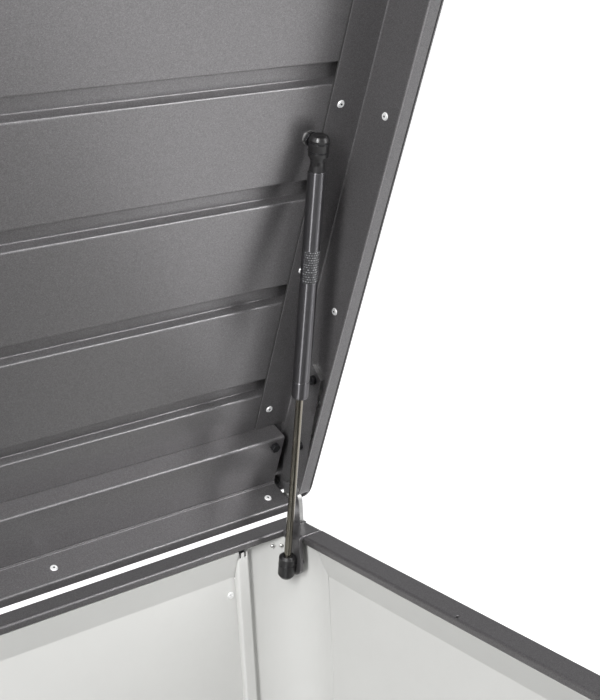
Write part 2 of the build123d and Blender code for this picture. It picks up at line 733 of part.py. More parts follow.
def ball_and_neck(centre, direction, ball, neck, reach, mode=Mode.ADD):
    """Ball with a neck along a direction, turned from one half profile."""
    square = STRUT_AXIS if abs(direction.dot(STRUT_AXIS)) < 0.5 else ACROSS
    across = square - direction * square.dot(direction)
    with BuildSketch(Plane(origin=centre, x_dir=direction, z_dir=across)) as profile:
        Circle(ball)
        Rectangle(reach, neck, align=(Align.MIN, Align.MIN))
        Rectangle(4 * reach, 2 * reach, align=(Align.CENTER, Align.MAX), mode=Mode.SUBTRACT)
    revolve(profile.sketch, axis=Axis(centre, direction), mode=mode)


def make_upper_socket():
    """Black plastic ball socket on the tube's end, with two clip grooves."""
    radius = UPPER_SOCKET_RADIUS
    with BuildPart() as upper_socket:
        with BuildSketch(strut_profile()):
            with BuildLine():
                Polyline(
                    (0, -11.5), (5, -11.5), (8.2, -10), (radius, -6.5), (radius, -4.6), (8.9, -4.4),
                    (8.9, -3.2), (radius, -3), (radius, 4.2), (8.9, 4.4), (8.9, 5.6), (radius, 5.8),
                    (radius, 9), (7.6, 14), (7.2, 18), (8.2, TUBE_START), (0, TUBE_START),
                    close=True,
                )
            make_face()
        revolve(axis=Axis(UPPER_BALL, STRUT_AXIS))
        ball_and_neck(UPPER_BALL, OUTWARD, SEAT_RADIUS, SOCKET_MOUTH, 16, Mode.SUBTRACT)
    save_pair(upper_socket, "upper_socket")


def make_tube():
    """Cylinder of the gas spring with a rolled groove near its open end, and its rod guide."""
    inner = TUBE_RADIUS - TUBE_WALL
    groove = TUBE_END - CRIMP_FROM_END
    with BuildPart() as gas_tube:
        with BuildSketch(strut_profile()):
            with BuildLine():
                Polyline(
                    (0, TUBE_START), (7.6, TUBE_START), (TUBE_RADIUS, TUBE_START + 1.4),
                    (TUBE_RADIUS, groove - 1.2), (TUBE_RADIUS - 0.6, groove),
                    (TUBE_RADIUS, groove + 1.2), (TUBE_RADIUS, TUBE_END - 2), (TUBE_RADIUS - 1, TUBE_END),
                    (inner, TUBE_END), (inner, TUBE_START + 3), (0, TUBE_START + 3),
                    close=True,
                )
            make_face()
        revolve(axis=Axis(UPPER_BALL, STRUT_AXIS))
    save_pair(gas_tube, "gas_tube")

    with BuildPart() as rod_guide:
        with BuildSketch(strut_plane(TUBE_END - 12)):
            Circle(inner)
            Circle(ROD_RADIUS + 0.06, mode=Mode.SUBTRACT)
        extrude(amount=11.6)
    save_pair(rod_guide, "rod_guide")


def make_rod():
    """Polished rod with the piston on its inner end."""
    piston_start = TUBE_END - 12 - 6 - PISTON_LENGTH
    with BuildPart() as piston_rod:
        with BuildSketch(strut_plane(piston_start)):
            Circle(ROD_RADIUS)
        extrude(amount=STRUT_LENGTH - 9 - piston_start)
    save_pair(piston_rod, "piston_rod")
    with BuildPart() as piston:
        with BuildSketch(strut_plane(piston_start)):
            Circle(TUBE_RADIUS - TUBE_WALL - 0.06)
            Circle(ROD_RADIUS, mode=Mode.SUBTRACT)
        extrude(amount=PISTON_LENGTH)
    save_pair(piston, "piston")


def make_lower_socket():
    """Barrel-shaped ball socket on the rod's end."""
    radius = LOWER_SOCKET_RADIUS
    end = STRUT_LENGTH
    with BuildPart() as lower_socket:
        with BuildSketch(strut_profile()):
            with BuildLine():
                Polyline(
                    (0, end - 16), (6.6, end - 16), (radius, end - 13.4), (radius, end - 5.6),
                    (8.5, end - 5.4), (8.5, end - 4.2), (radius, end - 4), (radius, end + 9),
                    (7.4, end + 12.4), (0, end + 12.4),
                    close=True,
                )
            make_face()
        revolve(axis=Axis(UPPER_BALL, STRUT_AXIS))
        with BuildSketch(strut_plane(end - 17)):
            Circle(ROD_RADIUS)
        extrude(amount=8, mode=Mode.SUBTRACT)
        ball_and_neck(Vector(*LOWER_BALL), ACROSS, SEAT_RADIUS, SOCKET_MOUTH, 16, Mode.SUBTRACT)
    save_pair(lower_socket, "lower_socket")


def make_ball_studs():
    """Upper studs through the lid's panel with washers, lower studs on the rods' ends."""
    reach = PANEL_OUTER + 0.5 - UPPER_BALL_OUT
    with BuildPart() as upper_stud:
        ball_and_neck(UPPER_BALL, OUTWARD, BALL_RADIUS, NECK_RADIUS, reach)
        with BuildSketch(lid_under(PANEL_INNER - WASHER_THICKNESS)):
            with Locations((UPPER_BALL_X, UPPER_BALL_FORWARD)):
                RegularPolygon(STUD_HEXAGON, 6)
        extrude(amount=STUD_HEXAGON_HEIGHT)
    save_pair(upper_stud, "upper_ball_stud")

    with BuildPart() as washers:
        with BuildSketch(lid_under(PANEL_INNER)):
            with Locations((UPPER_BALL_X, UPPER_BALL_FORWARD), (-UPPER_BALL_X, UPPER_BALL_FORWARD)):
                Circle(STUD_HEXAGON + 0.5)
                Circle(NECK_RADIUS, mode=Mode.SUBTRACT)
        extrude(amount=WASHER_THICKNESS)
    save(washers, "stud_washers")

    reach = LEG_FACE - 0.3 - LOWER_BALL[0]
    with BuildPart() as lower_stud:
        ball_and_neck(Vector(*LOWER_BALL), ACROSS, BALL_RADIUS, NECK_RADIUS, reach)
    save_pair(lower_stud, "lower_ball_stud")


# ---------------------------------------------------------------- lock


def make_lock():
    """Turn lock in the lid's front: housing, nut, knob with spindle, and hooked cam."""
    spot = (0, LOCK_HEIGHT)
    with BuildPart() as housing:
        with BuildSketch(lid_front(LID_FRONT)):
            with Locations(spot):
                Circle(LOCK_FLANGE_RADIUS)
        extrude(amount=4, taper=20)
        with BuildSketch(lid_front(LID_FRONT - 22)):
            with Locations(spot):
                Circle(LOCK_BARREL_RADIUS)
        extrude(amount=22)
        with BuildSketch(lid_front(LID_FRONT - 23)):
            with Locations(spot):
                Circle(SPINDLE_RADIUS + PIN_CLEARANCE)
        extrude(amount=30, mode=Mode.SUBTRACT)
    save(housing, "lock_housing")

    with BuildPart() as lock_nut:
        with BuildSketch(lid_front(FRONT_WEB_INNER - 6)):
            with Locations(spot):
                RegularPolygon(KNOB_RADIUS, 6)
                Circle(LOCK_BARREL_RADIUS + 0.05, mode=Mode.SUBTRACT)
        extrude(amount=6)
    save(lock_nut, "lock_nut")

    with BuildPart() as knob:
        with BuildSketch(lid_front(LID_FRONT + 4.3)):
            with Locations(spot):
                Circle(KNOB_RADIUS)
        extrude(amount=5, taper=8)
        with BuildSketch(lid_front(LID_FRONT + 9)):
            with Locations(spot):
                RectangleRounded(30, 9, 4)
        extrude(amount=13, taper=3)
        with BuildSketch(lid_front(CAM_FORWARD)):
            with Locations(spot):
                Circle(SPINDLE_RADIUS)
        extrude(amount=LID_FRONT + 5 - CAM_FORWARD)
    save(knob, "lock_knob")

    foot_width = 6
    with BuildPart() as cam:
        with BuildSketch(lid_front(CAM_FORWARD)):
            with Locations(spot):
                Circle(10)
            with Locations((0, LOCK_HEIGHT)):
                Rectangle(CAM_LENGTH, 14, align=(Align.MIN, Align.CENTER))
            with Locations((CAM_LENGTH - foot_width, LOCK_HEIGHT + 7)):
                Rectangle(foot_width, CAM_FOOT + 7, align=(Align.MIN, Align.MAX))
            with Locations(spot):
                Circle(SPINDLE_RADIUS, mode=Mode.SUBTRACT)
        extrude(amount=CAM_THICKNESS)
    save(cam, "lock_cam")

    with BuildPart() as cam_screw:
        with BuildSketch(lid_front(CAM_FORWARD)):
            with Locations(spot):
                Circle(7)
        extrude(amount=-4)
        fillet(cam_screw.faces().sort_by(Axis(PIVOT, FORWARD))[0].edges(), 1.5)
    save(cam_screw, "cam_screw")


make_floor()
make_walls()
make_corner_posts()
make_rims()
make_hinge_arm()
make_strut_bracket()
make_rim_fittings()
make_lid_panel()
make_side_channel()
make_front_channel()
make_rear_skirt()
make_rear_beam()
make_hinge_plate()
make_lid_rivets()
make_upper_socket()
make_tube()
make_rod()
make_lower_socket()
make_ball_studs()
make_lock()
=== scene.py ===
import json
import math
import bmesh
import bpy
from mathutils import Matrix, Vector


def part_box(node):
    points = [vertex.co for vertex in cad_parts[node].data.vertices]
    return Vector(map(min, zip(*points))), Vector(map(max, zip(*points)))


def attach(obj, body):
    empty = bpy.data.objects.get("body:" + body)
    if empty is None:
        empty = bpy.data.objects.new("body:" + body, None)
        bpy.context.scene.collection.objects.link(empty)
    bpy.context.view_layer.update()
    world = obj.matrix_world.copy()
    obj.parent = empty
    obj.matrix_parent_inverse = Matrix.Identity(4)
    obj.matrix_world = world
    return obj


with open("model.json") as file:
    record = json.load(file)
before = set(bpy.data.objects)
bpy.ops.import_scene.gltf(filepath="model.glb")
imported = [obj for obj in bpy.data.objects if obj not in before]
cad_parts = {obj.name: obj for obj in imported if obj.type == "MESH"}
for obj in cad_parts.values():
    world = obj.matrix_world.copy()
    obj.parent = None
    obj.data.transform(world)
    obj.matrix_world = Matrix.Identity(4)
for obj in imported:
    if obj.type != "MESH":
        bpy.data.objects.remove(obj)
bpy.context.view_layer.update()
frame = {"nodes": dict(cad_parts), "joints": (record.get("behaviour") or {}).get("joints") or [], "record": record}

# Looks for the deck storage box. Metres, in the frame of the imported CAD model.
NODES = frame["nodes"]
RECORD = frame["record"]
JOINTS = {joint["name"]: joint for joint in frame["joints"]}
MM = 0.001
SIDES = ("right", "left")

# The body's sheet and its rounded corners, and the open lid's own directions.
BODY_SKIN = 1.5 * MM
CORNER_INNER = 57 * MM
CORNER_OUTER = 58.5 * MM
OUTWARD_FACING = 0.3
LID_OPEN = math.radians(66)
LID_PIVOT = Vector(JOINTS["lid_hinge"]["pos_m"])
LID_AHEAD = Vector((0, -math.cos(LID_OPEN), math.sin(LID_OPEN)))
LID_OUT = Vector((0, math.sin(LID_OPEN), math.cos(LID_OPEN)))
LIP_LEVEL = -19.0 * MM
RIVET_CENTRE = 1.3 * MM


# ---------------------------------------------------------------- shader helpers


class Shader:
    """A small wrapper that adds and links nodes in one material's tree."""

    def __init__(self, name):
        self.material = bpy.data.materials.new(name)
        self.material.use_nodes = True
        self.tree = self.material.node_tree
        self.surface = self.tree.nodes["Principled BSDF"]
        self.place = self.node("ShaderNodeTexCoord").outputs["Object"]

    def node(self, kind, **settings):
        made = self.tree.nodes.new(kind)
        for key, value in settings.items():
            setattr(made, key, value)
        return made

    def link(self, source, target):
        self.tree.links.new(source, target)

    def stretched(self, scale):
        """Object coordinates scaled along each axis."""
        mapping = self.node("ShaderNodeMapping")
        mapping.inputs["Scale"].default_value = scale
        self.link(self.place, mapping.inputs["Vector"])
        return mapping.outputs["Vector"]

    def noise(self, scale, detail=2.0, rough=0.5, vector=None):
        made = self.node("ShaderNodeTexNoise")
        made.inputs["Scale"].default_value = scale
        made.inputs["Detail"].default_value = detail
        made.inputs["Roughness"].default_value = rough
        self.link(vector or self.place, made.inputs["Vector"])
        return made.outputs["Fac"]

    def cells(self, scale, vector=None):
        """A random value for each small cell, as for metal flakes or zinc spangles."""
        made = self.node("ShaderNodeTexVoronoi")
        made.inputs["Scale"].default_value = scale
        self.link(vector or self.place, made.inputs["Vector"])
        split = self.node("ShaderNodeSeparateColor")
        self.link(made.outputs["Color"], split.inputs["Color"])
        return split.outputs["Red"]

    def spread(self, source, low, high, start=0.0, end=1.0):
        """Map a value's range from start..end to low..high."""
        made = self.node("ShaderNodeMapRange")
        limits = {"From Min": start, "From Max": end, "To Min": low, "To Max": high}
        for key, value in limits.items():
            made.inputs[key].default_value = value
        self.link(source, made.inputs["Value"])
        return made.outputs["Result"]

    def maths(self, operation, first, second):
        made = self.node("ShaderNodeMath", operation=operation)
        for socket, value in zip(made.inputs, (first, second)):
            if isinstance(value, (int, float)):
                socket.default_value = value
            else:
                self.link(value, socket)
        return made.outputs["Value"]

    def mixed(self, factor, first, second, blend="MIX"):
        """Mix two colours; each may be a tuple or another node's output."""
        made = self.node("ShaderNodeMix", data_type="RGBA", blend_type=blend)
        inputs = [made.inputs[0], made.inputs[6], made.inputs[7]]
        for socket, value in zip(inputs, (factor, first, second)):
            if isinstance(value, tuple):
                socket.default_value = (*value, 1.0)
            elif isinstance(value, (int, float)):
                socket.default_value = value
            else:
                self.link(value, socket)
        return made.outputs[2]

    def shaded(self, color, shade):
        """A colour times a grey value from another node."""
        grey = self.node("ShaderNodeCombineColor")
        for socket in grey.inputs[:3]:
            self.link(shade, socket)
        return self.mixed(1.0, color, grey.outputs["Color"], "MULTIPLY")

    def edges(self, radius):
        """About 0 on flat faces, rising to 1 on bends and edges narrower than the radius."""
        bevel = self.node("ShaderNodeBevel", samples=6)
        bevel.inputs["Radius"].default_value = radius
        geometry = self.node("ShaderNodeNewGeometry")
        dot = self.node("ShaderNodeVectorMath", operation="DOT_PRODUCT")
        self.link(bevel.outputs["Normal"], dot.inputs[0])
        self.link(geometry.outputs["Normal"], dot.inputs[1])
        return self.spread(dot.outputs["Value"], 1.0, 0.0, 0.80, 0.99), bevel.outputs["Normal"]

    def bump(self, height, strength, distance, normal=None):
        made = self.node("ShaderNodeBump")
        made.inputs["Strength"].default_value = strength
        made.inputs["Distance"].default_value = distance
        self.link(height, made.inputs["Height"])
        if normal is not None:
            self.link(normal, made.inputs["Normal"])
        self.link(made.outputs["Normal"], self.surface.inputs["Normal"])

    def finish(self, color, rough, **fixed):
        """Link or set the base colour and roughness, and set the other sockets."""
        for key, value in (("Base Color", color), ("Roughness", rough)):
            socket = self.surface.inputs[key]
            if isinstance(value, tuple):
                socket.default_value = (*value, 1.0)
            elif isinstance(value, (int, float)):
                socket.default_value = value
            else:
                self.link(value, socket)
        for key, value in fixed.items():
            self.surface.inputs[key.replace("_", " ")].default_value = value
        return self.material


def metallic_coat(name, color, wear_and_highlight_color=(0.42, 0.42, 0.43), wear_and_highlight_amount=0.25, bend=0.9):
    """Satin powder coat with fine metal flakes and orange peel; bends and edges are lighter, as wear and as a
    painted highlight.
    """
    s = Shader(name)
    rough = 0.35
    flakes = s.spread(s.cells(1500), 0.82, 1.2)
    sparks = s.spread(s.cells(2600), 0.0, 1.0, 0.93, 1.0)
    cloud = s.spread(s.noise(2.5, 3), 0.95, 1.05)
    shade = s.maths("MULTIPLY", flakes, cloud)
    base = s.shaded(color, shade)
    spark_color = tuple(min(1.0, 2.6 * c) for c in color)
    base = s.mixed(s.maths("MULTIPLY", sparks, 0.35), base, spark_color)
    # Painted highlight with some wear: bends and edges are mixed towards a paler colour.
    mask, soft_normal = s.edges(bend * MM)
    wear_and_highlight_mix = s.maths("MULTIPLY", mask, s.spread(s.noise(60, 4), 0.35 * wear_and_highlight_amount, wear_and_highlight_amount))
    base = s.mixed(wear_and_highlight_mix, base, wear_and_highlight_color)
    smears = s.noise(9, 5, 0.65, s.stretched((1.0, 0.35, 0.35)))
    grain = s.maths("ADD", s.noise(900, 2), s.maths("MULTIPLY", s.cells(1500), 0.5))
    s.bump(grain, 0.12, 0.12 * MM, soft_normal)
    return s.finish(base, s.spread(smears, rough - 0.05, rough + 0.06), Metallic=0.72)


def light_coat(name, color):
    """Smooth light powder coat with faint mottling, orange peel and a painted highlight on its edges."""
    s = Shader(name)
    patches = s.spread(s.noise(6, 4), 0.0, 1.0, 0.3, 0.7)
    mottled = s.mixed(patches, color, tuple(0.96 * c for c in color))
    dust = s.spread(s.noise(35, 6, 0.7), 0.0, 0.25, 0.5, 0.8)
    dusty = s.mixed(dust, mottled, tuple(0.9 * c for c in color))
    # Painted highlight: bends and edges are mixed towards a paler grey.
    mask, soft_normal = s.edges(1.0 * MM)
    base = s.mixed(s.maths("MULTIPLY", mask, 0.5), dusty, (0.9, 0.91, 0.9))
    s.bump(s.noise(420, 3), 0.1, 0.2 * MM, soft_normal)
    return s.finish(base, s.spread(s.noise(14, 4), 0.33, 0.43), Metallic=0.0, Coat_Weight=0.08)


def zinc(name, color, rough=0.34):
    """Galvanised steel with spangles and dull streaks."""
    s = Shader(name)
    spangle = s.spread(s.cells(160), 0.8, 1.1)
    fine = s.spread(s.noise(700, 3), 0.92, 1.08)
    shade = s.maths("MULTIPLY", spangle, fine)
    base = s.shaded(color, shade)
    s.bump(s.noise(500, 2), 0.1, 0.1 * MM)
    return s.finish(base, s.spread(s.cells(160), rough - 0.08, rough + 0.1), Metallic=0.9)


def pale_metal(name, color):
    """Bright tumbled aluminium, more white than mirror-like, with dull specks."""
    s = Shader(name)
    specks = s.spread(s.noise(900, 4, 0.7), 0.0, 0.3, 0.5, 0.75)
    base = s.mixed(specks, color, (0.55, 0.55, 0.55))
    s.bump(s.noise(700, 2), 0.12, 0.05 * MM)
    return s.finish(base, s.spread(s.noise(500, 3), 0.35, 0.5), Metallic=0.25)


def turned_steel(name, color, rough):
    """Ground or turned steel with very fine upright marks."""
    s = Shader(name)
    marks = s.noise(1.0, 2, 0.5, s.stretched((60.0, 60.0, 2500.0)))
    stains = s.spread(s.noise(25, 4), 0.85, 1.05)
    base = s.shaded(color, stains)
    s.bump(marks, 0.06, 0.03 * MM)
    return s.finish(base, s.spread(marks, rough - 0.04, rough + 0.06), Metallic=1.0)


def gloss_enamel(name, color, axis):
    """Dark enamel over a turned tube, with highlights stretched along the axis."""
    s = Shader(name)
    dust = s.spread(s.noise(90, 5, 0.7), 0.0, 0.18, 0.55, 0.8)
    base = s.mixed(dust, color, tuple(1.3 * c for c in color))
    along = s.node("ShaderNodeCombineXYZ")
    for socket, value in zip(along.inputs, axis):
        socket.default_value = value
    s.link(along.outputs["Vector"], s.surface.inputs["Tangent"])
    s.bump(s.noise(260, 2), 0.03, 0.04 * MM)
    return s.finish(base, s.spread(s.noise(40, 4), 0.34, 0.39), Metallic=0.9, Anisotropic=1.0)


def moulded_plastic(name, color, rough):
    """Moulded plastic with fine spark-eroded grain and a painted highlight on its edges."""
    s = Shader(name)
    # Painted highlight: edges are mixed towards a paler colour.
    mask, soft_normal = s.edges(0.6 * MM)
    tint = s.mixed(s.spread(s.noise(120, 4), 0.0, 0.6), color, tuple(1.5 * c for c in color))
    edge_highlight_color = tuple(min(1.0, 4.0 * c + 0.02) for c in color)
    base = s.mixed(s.maths("MULTIPLY", mask, 0.5), tint, edge_highlight_color)
    s.bump(s.noise(1800, 3), 0.2, 0.08 * MM, soft_normal)
    return s.finish(base, s.spread(s.noise(300, 3), rough - 0.06, rough + 0.08))


def black_steel(name):
    """Blackened screw steel whose edges are lighter, as rubbed wear and as a painted highlight."""
    s = Shader(name)
    # Painted highlight with wear: edges are mixed towards a paler grey.
    mask, soft_normal = s.edges(0.5 * MM)
    base = s.mixed(s.maths("MULTIPLY", mask, 0.6), (0.018, 0.018, 0.02), (0.16, 0.16, 0.165))
    s.bump(s.noise(1500, 2), 0.15, 0.05 * MM, soft_normal)
    return s.finish(base, s.spread(s.noise(400, 3), 0.3, 0.42), Metallic=0.5)


def printed_label(name):
    """Dark film with generic rows of small grey blocks printed on it."""
    s = Shader(name)
    uv = s.node("ShaderNodeTexCoord").outputs["UV"]
    rows = s.node("ShaderNodeTexBrick")
    rows.offset = 0.37
    sizes = {"Scale": 1.0, "Mortar Size": 0.022, "Brick Width": 0.13, "Row Height": 0.075}
    for key, value in sizes.items():
        rows.inputs[key].default_value = value
    rows.inputs["Color1"].default_value = (0.42, 0.42, 0.44, 1.0)
    rows.inputs["Color2"].default_value = (0.05, 0.05, 0.05, 1.0)
    rows.inputs["Mortar"].default_value = (0.03, 0.03, 0.03, 1.0)
    s.link(uv, rows.inputs["Vector"])
    # The print is rubbed off in places.
    wear_and_highlight_mix = s.spread(s.noise(500, 3), 0.1, 0.8)
    base = s.mixed(wear_and_highlight_mix, rows.outputs["Color"], (0.06, 0.06, 0.065))
    return s.finish(base, 0.25, Metallic=0.2)


def concrete(name, color):
    """Pale matt floor with a soft glow that grows towards the back and the right."""
    s = Shader(name)
    patches = s.spread(s.noise(1.3, 5), 0.0, 1.0)
    base = s.mixed(patches, color, tuple(0.985 * c for c in color))
    lean = s.node("ShaderNodeVectorMath", operation="DOT_PRODUCT")
    lean.inputs[1].default_value = (0.75, 1.0, 0.0)
    s.link(s.place, lean.inputs[0])
    glow = s.spread(lean.outputs["Value"], 0.15, 0.85, -0.1, 1.4)
    s.link(glow, s.surface.inputs["Emission Strength"])
    return s.finish(base, 0.85, Emission_Color=(1.0, 1.0, 1.0, 1.0))


# ---------------------------------------------------------------- materials on the CAD nodes

SPRING_AXIS = Vector(JOINTS["rod_right_slide"]["axis"]).normalized()

LID_GREY = (0.187, 0.182, 0.186)
# Painted shade: the rim's coat is a darker copy of the lid's coat.
RIM_GREY_PAINTED_SHADE = (0.160, 0.155, 0.159)
WALL_GREY = (0.575, 0.575, 0.56)

LOOKS = {
    "lid_sheet": metallic_coat("lid_coat", LID_GREY, bend=1.4),
    "rim_sheet": metallic_coat("rim_coat", RIM_GREY_PAINTED_SHADE, bend=1.6),
    "wall_sheet": light_coat("wall_coat", WALL_GREY),
    "floor_sheet": zinc("floor_zinc", (0.52, 0.53, 0.53), 0.4),
    "skid_plastic": moulded_plastic("skid_black", (0.03, 0.03, 0.03), 0.55),
    # The hinge coat's paler edge colour and larger amount give its edges more painted highlight and wear.
    "hinge_steel": metallic_coat("hinge_coat", (0.19, 0.187, 0.19), (0.5, 0.5, 0.5), 0.6),
    "tube_paint": gloss_enamel("tube_enamel", (0.11, 0.108, 0.114), SPRING_AXIS),
    "rod_steel": turned_steel("rod_chrome", (0.20, 0.185, 0.155), 0.2),
    "socket_plastic": moulded_plastic("socket_black", (0.010, 0.0095, 0.010), 0.3),
    "black_fastener": black_steel("screw_black"),
    "rivet_aluminium": pale_metal("rivet_bright", (0.80, 0.80, 0.80)),
    "stud_steel": zinc("stud_zinc", (0.72, 0.72, 0.7), 0.28),
    "lock_metal": turned_steel("lock_satin", (0.6, 0.6, 0.6), 0.3),
    "buffer_rubber": moulded_plastic("buffer_black", (0.02, 0.02, 0.02), 0.7),
}
OUTER_COAT = metallic_coat("body_coat", LID_GREY)
# Painted shade: a darker copy of the lid coat for the side channels' lips.
LIP_SHADE_COAT = metallic_coat("lip_coat", (0.125, 0.122, 0.125))
CUT_ZINC_AND_HIGHLIGHT = zinc("cut_zinc", (0.36, 0.36, 0.355))
LABEL = printed_label("label_print")


def paint_nodes():
    """Give each CAD node the look of its material slot."""
    for row in RECORD["subparts"]:
        node = NODES[row["node"]]
        node.data.materials.clear()
        node.data.materials.append(LOOKS[row["material_slot"]])


def paint_outside(node, is_outside):
    """Second material on the faces that the test picks out."""
    mesh = node.data
    mesh.materials.append(OUTER_COAT)
    for face in mesh.polygons:
        face.material_index = 1 if is_outside(face.center, face.normal) else 0


def paint_body():
    """Light coat inside the box, dark metallic coat outside."""
    wall_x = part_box("side_wall_right")[1].x
    wall_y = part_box("rear_wall")[1].y
    slack = 0.45 * BODY_SKIN
    paint_outside(NODES["rear_wall"], lambda _, normal: normal.y > OUTWARD_FACING)
    paint_outside(NODES["front_wall"], lambda _, normal: normal.y < -OUTWARD_FACING)
    paint_outside(NODES["side_wall_right"], lambda _, normal: normal.x > OUTWARD_FACING)
    paint_outside(NODES["side_wall_left"], lambda _, normal: normal.x < -OUTWARD_FACING)

    def on_outer_skin(centre, _):
        """True on the corner sheet's outer face, flat or round."""
        x, y = abs(centre.x), abs(centre.y)
        dx, dy = x - (wall_x - CORNER_OUTER), y - (wall_y - CORNER_OUTER)
        if dx > 0 and dy > 0:
            return math.hypot(dx, dy) > CORNER_OUTER - slack
        return x > wall_x - slack or y > wall_y - slack

    for end in ("rear", "front"):
        for side in SIDES:
            paint_outside(NODES[f"corner_post_{end}_{side}"], on_outer_skin)


def paint_arm_edges():
    """The hinge arms and plates are cut from zinc-coated plate; their edges get a pale zinc look, partly for the
    cut edge and partly as a painted highlight.
    """
    for name in ("hinge_arm", "hinge_plate"):
        for side in SIDES:
            mesh = NODES[f"{name}_{side}"].data
            mesh.materials.append(CUT_ZINC_AND_HIGHLIGHT)
            # Faces square to the plate take the pale zinc look, partly as a painted highlight.
            for face in mesh.polygons:
                face.material_index = 1 if abs(face.normal.x) < 0.5 else 0


def paint_lip_shade():
    """Painted shade: a darker copy of the lid's coat on the side channels' narrow lips."""
    for side in SIDES:
        mesh = NODES[f"side_channel_{side}"].data
        mesh.materials.append(LIP_SHADE_COAT)
        for face in mesh.polygons:
            level = (face.center - LID_PIVOT).dot(LID_OUT)
            face.material_index = 1 if level < LIP_LEVEL else 0


def shade_rivet_centres():
    """Painted shade in each blind rivet's hollow centre, drawn with the black steel look."""
    axes = (Vector((1, 0, 0)), LID_AHEAD, LID_OUT)
    mesh = NODES["lid_rivets"].data
    mesh.materials.append(LOOKS["black_fastener"])
    build = bmesh.new()
    build.from_mesh(mesh)
    seen = set()
    for start in build.verts:
        if start.index in seen:
            continue
        island, queue = [], [start]
        seen.add(start.index)
        while queue:
            vert = queue.pop()
            island.append(vert)
            for edge in vert.link_edges:
                other = edge.other_vert(vert)
                if other.index not in seen:
                    seen.add(other.index)
                    queue.append(other)
        spans = []
        for axis in axes:
            along = [vert.co.dot(axis) for vert in island]
            spans.append((max(along) - min(along), (max(along) + min(along)) / 2))
        axis = axes[spans.index(min(spans))]
        centre = sum((a * middle for a, (_, middle) in zip(axes, spans)), Vector())
        # Faces close to the rivet's axis take the black look as painted shade.
        near = set()
        for vert in island:
            away = vert.co - centre
            if (away - axis * away.dot(axis)).length < RIVET_CENTRE:
                near.add(vert.index)
        for vert in island:
            for face in vert.link_faces:
                if all(corner.index in near for corner in face.verts):
                    mesh.polygons[face.index].material_index = 1
    build.free()


# ---------------------------------------------------------------- added pieces


def new_object(name, mesh, material):
    made = bpy.data.objects.new(name, mesh)
    bpy.context.collection.objects.link(made)
    mesh.materials.append(material)
    for face in mesh.polygons:
        face.use_smooth = True
    return made


def strut_frame(side):
    """Upper ball's centre and the gas spring's direction from it, from the joints."""
    start = Vector(JOINTS[f"tube_{side}_pivot"]["pos_m"])
    down = -Vector(JOINTS[f"rod_{side}_slide"]["axis"]).normalized()
    return start, down


def across(direction, hint):
    """Unit vector near the hint, square to a direction."""
    return (hint - direction * hint.dot(direction)).normalized()


def wire_clip(name, centre, axis, opening, radius, wire, body, gap=35):
    """Open ring of spring wire in a socket's groove, with its ends turned out at the opening."""
    curve = bpy.data.curves.new(name, "CURVE")
    curve.dimensions = "3D"
    curve.bevel_depth = wire
    curve.bevel_resolution = 3
    curve.use_fill_caps = True
    side = across(axis, opening)
    other = axis.cross(side)
    spline = curve.splines.new("POLY")
    count = 40
    spline.points.add(count + 1)
    for step in range(count + 2):
        angle = math.radians(gap + (360 - 2 * gap) * min(max(step - 0.5, 0), count) / count)
        reach = radius + (1.6 * MM if step in (0, count + 1) else 0)
        point = centre + side * (reach * math.cos(angle)) + other * (reach * math.sin(angle))
        spline.points[step].co = (*point, 1.0)
    made = bpy.data.objects.new(name, curve)
    bpy.context.collection.objects.link(made)
    curve.materials.append(LOOKS["black_fastener"])
    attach(made, body)


def tube_label(side, start, end):
    """Curved label on the gas spring's tube, facing forwards into the box."""
    top, down = strut_frame(side)
    inward = -1 if side == "right" else 1
    facing = across(down, Vector((0.35 * inward, -1.0, 0.0)))
    turn = down.cross(facing)
    radius = 9.08 * MM
    columns, rows = 16, 6
    mesh = bpy.data.meshes.new(f"tube_label_{side}")
    build = bmesh.new()
    uv = build.loops.layers.uv.new("UVMap")
    grid = []
    for row in range(rows + 1):
        line = []
        for column in range(columns + 1):
            angle = math.radians(-62 + 124 * column / columns)
            along = start + (end - start) * row / rows
            radial = facing * math.cos(angle) + turn * math.sin(angle)
            line.append(build.verts.new(top + down * along + radial * radius))
        grid.append(line)
    for row in range(rows):
        for column in range(columns):
            corners = [(row, column), (row, column + 1), (row + 1, column + 1), (row + 1, column)]
            face = build.faces.new([grid[r][c] for r, c in corners])
            for loop, (r, c) in zip(face.loops, corners):
                loop[uv].uv = (c / columns, r / rows)
    build.normal_update()
    build.to_mesh(mesh)
    build.free()
    made = new_object(mesh.name, mesh, LABEL)
    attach(made, f"tube_{side}")


def lid_place(x, forward, outward):
    """Point in the open lid's own directions: across, forwards from the hinge, and outwards."""
    foot = Vector((x, LID_PIVOT.y, LID_PIVOT.z))
    return foot + LID_AHEAD * forward + LID_OUT * outward


def bead(name, start, end, radius, look, body):
    """Long round bead between two points, closed at both ends."""
    curve = bpy.data.curves.new(name, "CURVE")
    curve.dimensions = "3D"
    curve.bevel_depth = radius
    curve.bevel_resolution = 4
    curve.use_fill_caps = True
    spline = curve.splines.new("POLY")
    spline.points.add(1)
    for point, place in zip(spline.points, (start, end)):
        point.co = (*place, 1.0)
    made = bpy.data.objects.new(name, curve)
    bpy.context.collection.objects.link(made)
    curve.materials.append(LOOKS[look])
    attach(made, body)


